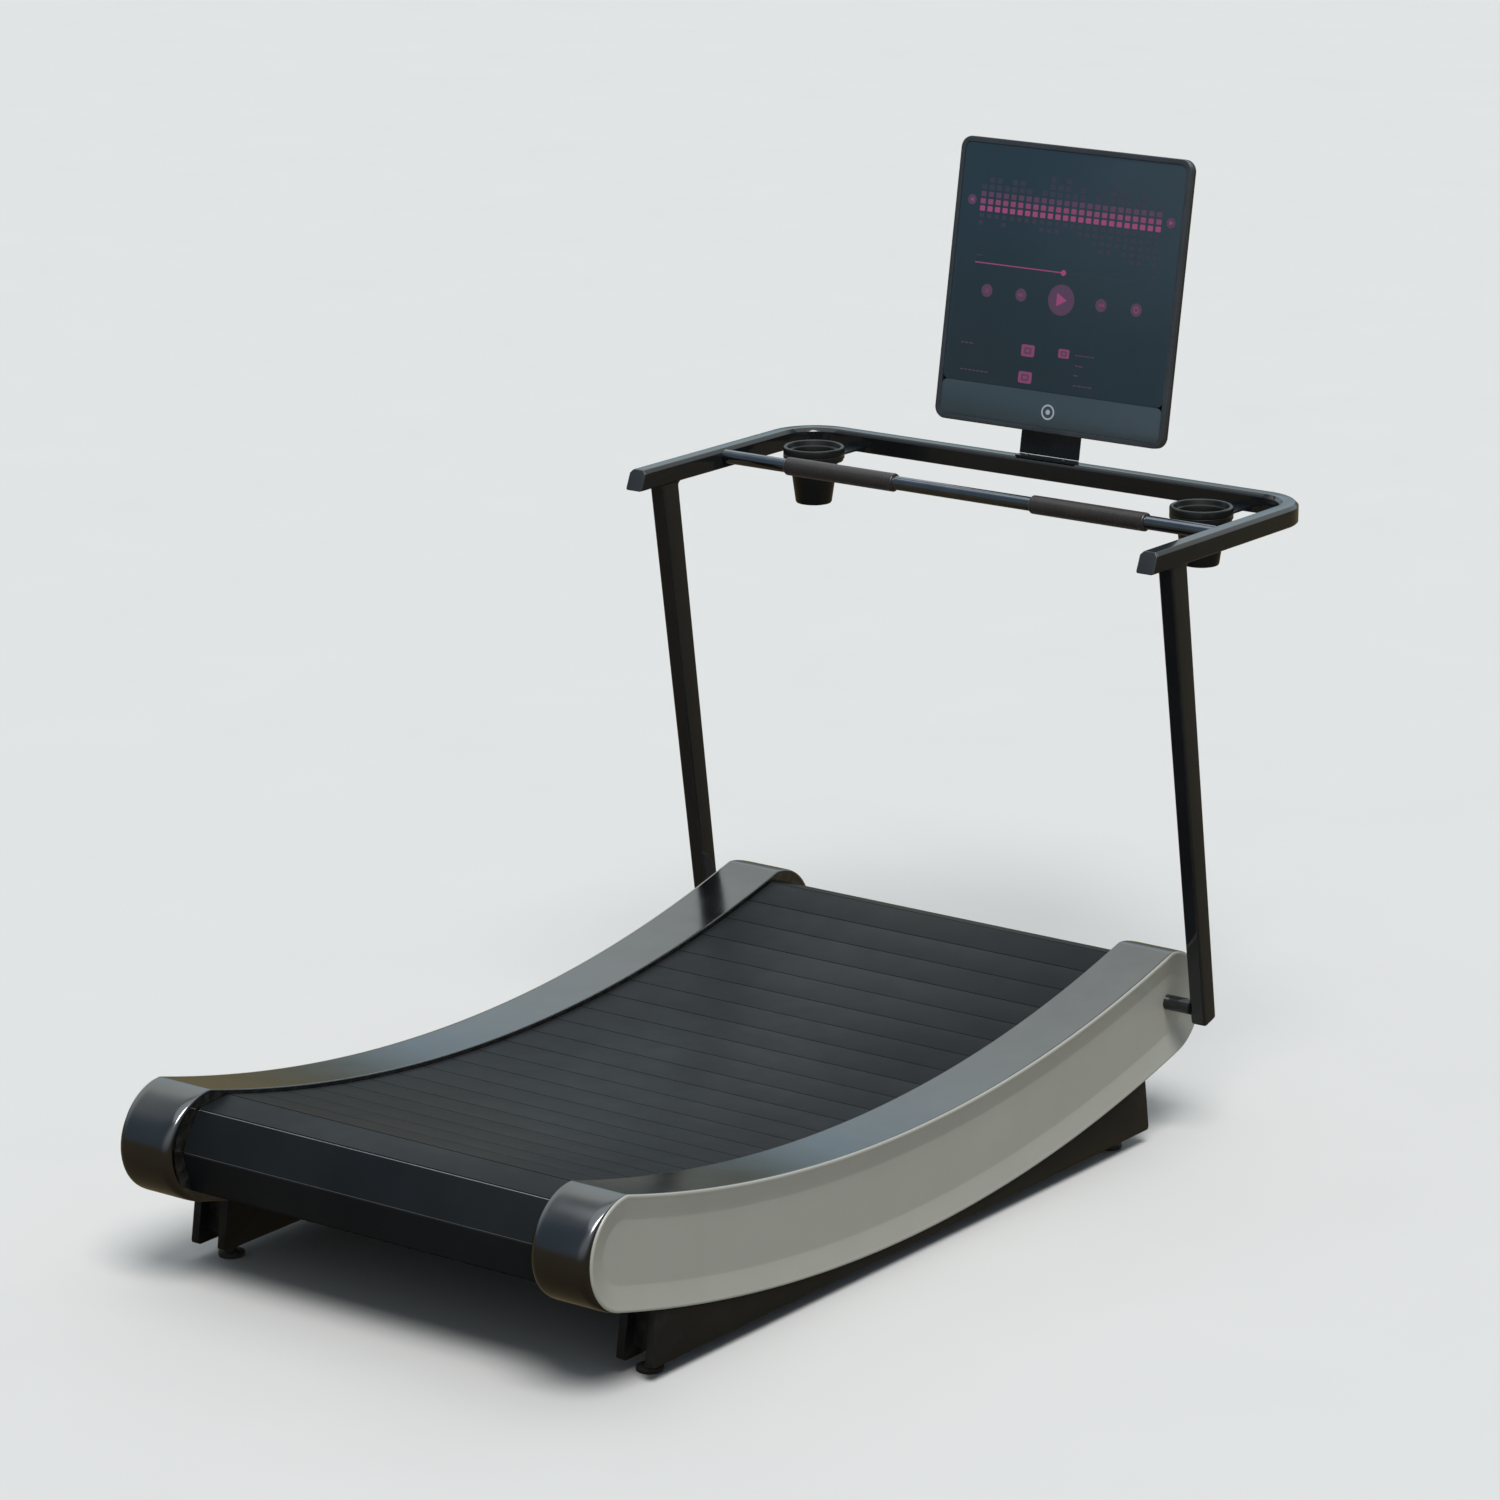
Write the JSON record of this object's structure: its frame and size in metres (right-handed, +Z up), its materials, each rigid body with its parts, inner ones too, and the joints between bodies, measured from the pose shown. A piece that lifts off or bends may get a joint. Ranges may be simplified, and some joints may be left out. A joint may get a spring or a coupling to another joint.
{
  "type": "curved manual treadmill",
  "caption": "Curved manual treadmill: a slatted belt sags between deep side rails, with a handrail loop on leaning uprights, cup holders and a tilted tablet console.",
  "frame": {"origin": "on the floor, under the middle of the machine's bounding box", "axes": "+Z up, +Y forwards (the way the runner faces, towards the console), +X to the runner's right"},
  "size_m": [1.076, 1.9979, 1.5939],
  "materials": {
    "cap_chrome": "polished, darkened steel",
    "panel_silver": "satin silver-grey",
    "frame_black": "satin black powder coat",
    "base_black": "semi-gloss black",
    "rail_black": "semi-gloss black",
    "belt_slate": "semi-gloss slate",
    "rod_steel": "brushed",
    "drum_aluminium": "turned",
    "shaft_steel": "ground",
    "bearing_iron": "dark",
    "track_plastic": "low-friction, matte",
    "foot_rubber": "matt moulded",
    "fastener_steel": "plated",
    "arm_cap_grey": "satin bluish grey",
    "crossbar_steel": "polished",
    "grip_rubber": "fine grain, dark",
    "cup_black": "satin moulded",
    "bracket_black": "satin black",
    "console_metal": "anodised blue grey",
    "console_shell": "fine texture",
    "screen_glass": "gloss, dark",
    "strip_glass": "gloss, grey",
    "display_black": "unlit display",
    "board_green": "circuit board"
  },
  "bodies": {
    "frame": {"base_tie_blocks": "base_black", "console_back": "console_shell", "console_bezel": "console_metal", "console_bracket": "bracket_black", "console_screws": "fastener_steel", "control_board": "board_green", "control_strip": "strip_glass", "crossbar": "crossbar_steel", "display_panel": "display_black", "foot_lock_nuts": "fastener_steel", "front_bearings": "bearing_iron", "front_cross_tube": "frame_black", "handrail_frame": "rail_black", "left_arm_cap": "arm_cap_grey", "left_base_web": "base_black", "left_cup_bracket": "bracket_black", "left_cup_holder": "cup_black", "left_frame_plate": "frame_black", "left_grip": "grip_rubber", "left_inner_base_plate": "base_black", "left_outer_base_plate": "base_black", "left_rail_cap": "cap_chrome", "left_side_panel": "panel_silver", "left_slide_track": "track_plastic", "left_upright": "rail_black", "left_upright_stub": "rail_black", "middle_cross_tube": "frame_black", "rear_bearings": "bearing_iron", "rear_cross_tube": "frame_black", "right_arm_cap": "arm_cap_grey", "right_base_web": "base_black", "right_cup_bracket": "bracket_black", "right_cup_holder": "cup_black", "right_frame_plate": "frame_black", "right_grip": "grip_rubber", "right_inner_base_plate": "base_black", "right_outer_base_plate": "base_black", "right_rail_cap": "cap_chrome", "right_side_panel": "panel_silver", "right_slide_track": "track_plastic", "right_upright": "rail_black", "right_upright_stub": "rail_black", "screen_glass": "screen_glass", "stub_bolts": "fastener_steel"},
    "belt_top_run": {"top_slats": "belt_slate", "top_rods": "rod_steel"},
    "front_drum_set": {"front_drum": "drum_aluminium", "front_drum_shaft": "shaft_steel", "front_wrap_slats": "belt_slate", "front_wrap_rods": "rod_steel"},
    "rear_drum_set": {"rear_drum": "drum_aluminium", "rear_drum_shaft": "shaft_steel", "rear_wrap_slats": "belt_slate", "rear_wrap_rods": "rod_steel"},
    "belt_return_run": {"return_slats": "belt_slate", "return_rods": "rod_steel"},
    "right_rear_leveller": {"right_rear_foot": "foot_rubber"},
    "left_rear_leveller": {"left_rear_foot": "foot_rubber"},
    "right_front_leveller": {"right_front_foot": "foot_rubber"},
    "left_front_leveller": {"left_front_foot": "foot_rubber"}
  },
  "joints": [
    {"name": "belt_travel", "type": "hinge", "parent": "frame", "child": "belt_top_run", "pos_m": [0, -0.14445, 3.0411], "axis": [1, 0, 0], "range_deg": [-0.7, 0.7]},
    {"name": "front_drum_turn", "type": "hinge", "parent": "frame", "child": "front_drum_set", "pos_m": [0, 0.59055, 0.226], "axis": [1, 0, 0], "range_deg": [-24.7, 24.7]},
    {"name": "rear_drum_turn", "type": "hinge", "parent": "frame", "child": "rear_drum_set", "pos_m": [0, -0.87945, 0.226], "axis": [1, 0, 0], "range_deg": [-24.7, 24.7]},
    {"name": "return_travel", "type": "hinge", "parent": "frame", "child": "belt_return_run", "pos_m": [0, -0.15913, 6.34195], "axis": [1, 0, 0], "range_deg": [-0.325, 0.325]},
    {"name": "right_rear_foot_screw", "type": "slide", "parent": "frame", "child": "right_rear_leveller", "axis": [0, 0, -1], "range_m": [0, 0.015]},
    {"name": "left_rear_foot_screw", "type": "slide", "parent": "frame", "child": "left_rear_leveller", "axis": [0, 0, -1], "range_m": [0, 0.015]},
    {"name": "right_front_foot_screw", "type": "slide", "parent": "frame", "child": "right_front_leveller", "axis": [0, 0, -1], "range_m": [0, 0.015]},
    {"name": "left_front_foot_screw", "type": "slide", "parent": "frame", "child": "left_front_leveller", "axis": [0, 0, -1], "range_m": [0, 0.015]}
  ],
  "couplings": [
    {"joint": "front_drum_turn", "follows": "belt_travel", "ratio": -34.945},
    {"joint": "rear_drum_turn", "follows": "belt_travel", "ratio": -34.945},
    {"joint": "return_travel", "follows": "belt_travel", "ratio": -0.45372}
  ]
}
